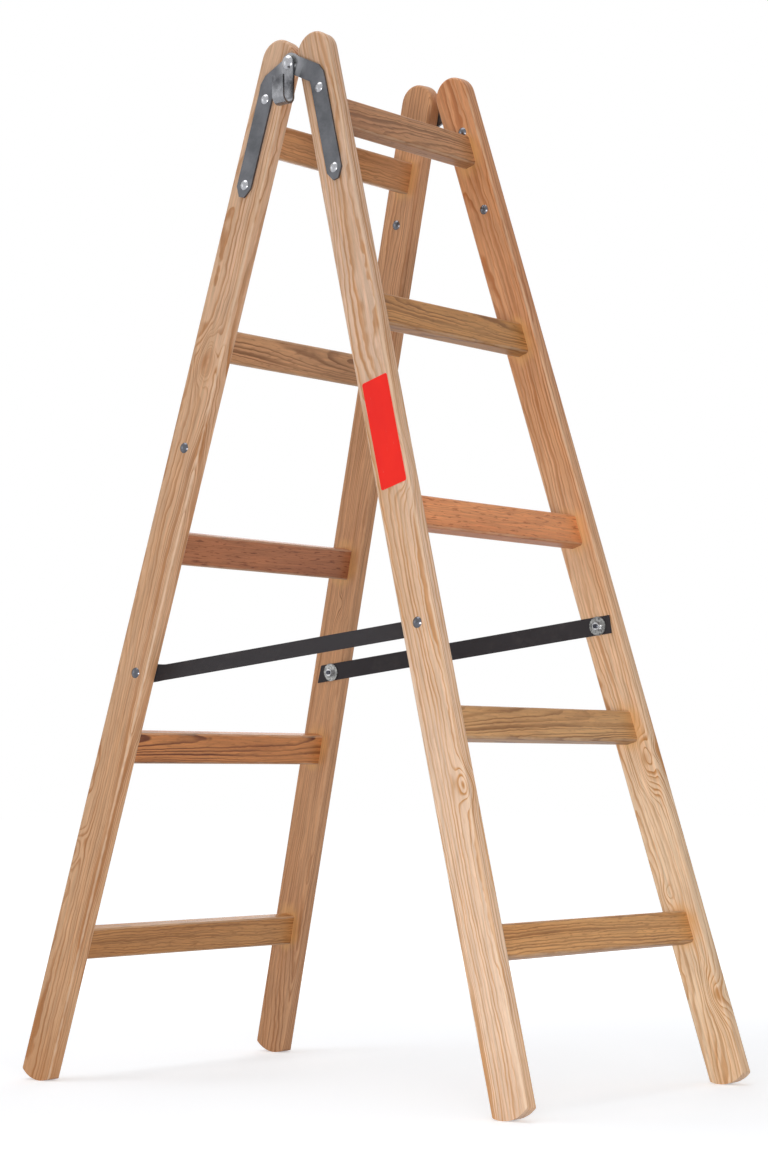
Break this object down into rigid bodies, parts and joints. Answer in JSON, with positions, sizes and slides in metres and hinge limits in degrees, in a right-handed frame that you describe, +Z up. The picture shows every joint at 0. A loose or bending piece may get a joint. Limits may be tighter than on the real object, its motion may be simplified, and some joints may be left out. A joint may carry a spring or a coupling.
{
  "type": "trestle ladder",
  "caption": "Timber trestle ladder: hinged rung sections that fold together, with steel hinge arms, a swinging bucket hook and webbing straps that limit the spread.",
  "frame": {"origin": "on the floor, under the middle of the hinge axis", "axes": "+Z up, +Y along the hinge axis from the side with the bucket hook to the other, +X towards the feet of the front section"},
  "size_m": [0.8628, 0.512, 1.3972],
  "materials": {
    "stile_timber": "planed pine, thin clear coat",
    "rung_timber": "planed hardwood, thin clear coat",
    "zinc_steel": "satin zinc plate",
    "webbing": "woven webbing",
    "label": "blank vinyl label"
  },
  "bodies": {
    "front_section": {"front_near_stile": "stile_timber", "front_far_stile": "stile_timber", "front_rung_1": "rung_timber", "front_rung_2": "rung_timber", "front_rung_3": "rung_timber", "front_rung_4": "rung_timber", "front_rung_5": "rung_timber", "front_near_arm": "zinc_steel", "front_far_arm": "zinc_steel", "front_near_arm_rivets": "zinc_steel", "front_far_arm_rivets": "zinc_steel", "near_pivot_pin": "zinc_steel", "far_pivot_pin": "zinc_steel", "hook_washer": "zinc_steel", "near_strap": "webbing", "far_strap": "webbing", "front_strap_bolts": "zinc_steel", "front_strap_washers": "zinc_steel", "front_strap_nuts": "zinc_steel", "stile_label": "label"},
    "rear_section": {"rear_near_stile": "stile_timber", "rear_far_stile": "stile_timber", "rear_rung_1": "rung_timber", "rear_rung_2": "rung_timber", "rear_rung_3": "rung_timber", "rear_rung_4": "rung_timber", "rear_rung_5": "rung_timber", "rear_near_arm": "zinc_steel", "rear_far_arm": "zinc_steel", "rear_near_arm_rivets": "zinc_steel", "rear_far_arm_rivets": "zinc_steel", "rear_strap_bolts": "zinc_steel", "rear_strap_washers": "zinc_steel", "rear_strap_nuts": "zinc_steel", "lone_bolt": "zinc_steel", "lone_bolt_washer": "zinc_steel", "lone_bolt_nut": "zinc_steel"},
    "hook": {"bucket_hook": "zinc_steel"}
  },
  "joints": [
    {"name": "fold", "type": "hinge", "parent": "front_section", "child": "rear_section", "pos_m": [0, 0, 1.35801], "axis": [0, -1, 0], "range_deg": [0, 30.8], "deforming": ["near_strap", "far_strap"]},
    {"name": "hook_swing", "type": "hinge", "parent": "front_section", "child": "hook", "pos_m": [0, -0.17379, 1.35801], "axis": [0, 1, 0], "continuous": true}
  ]
}
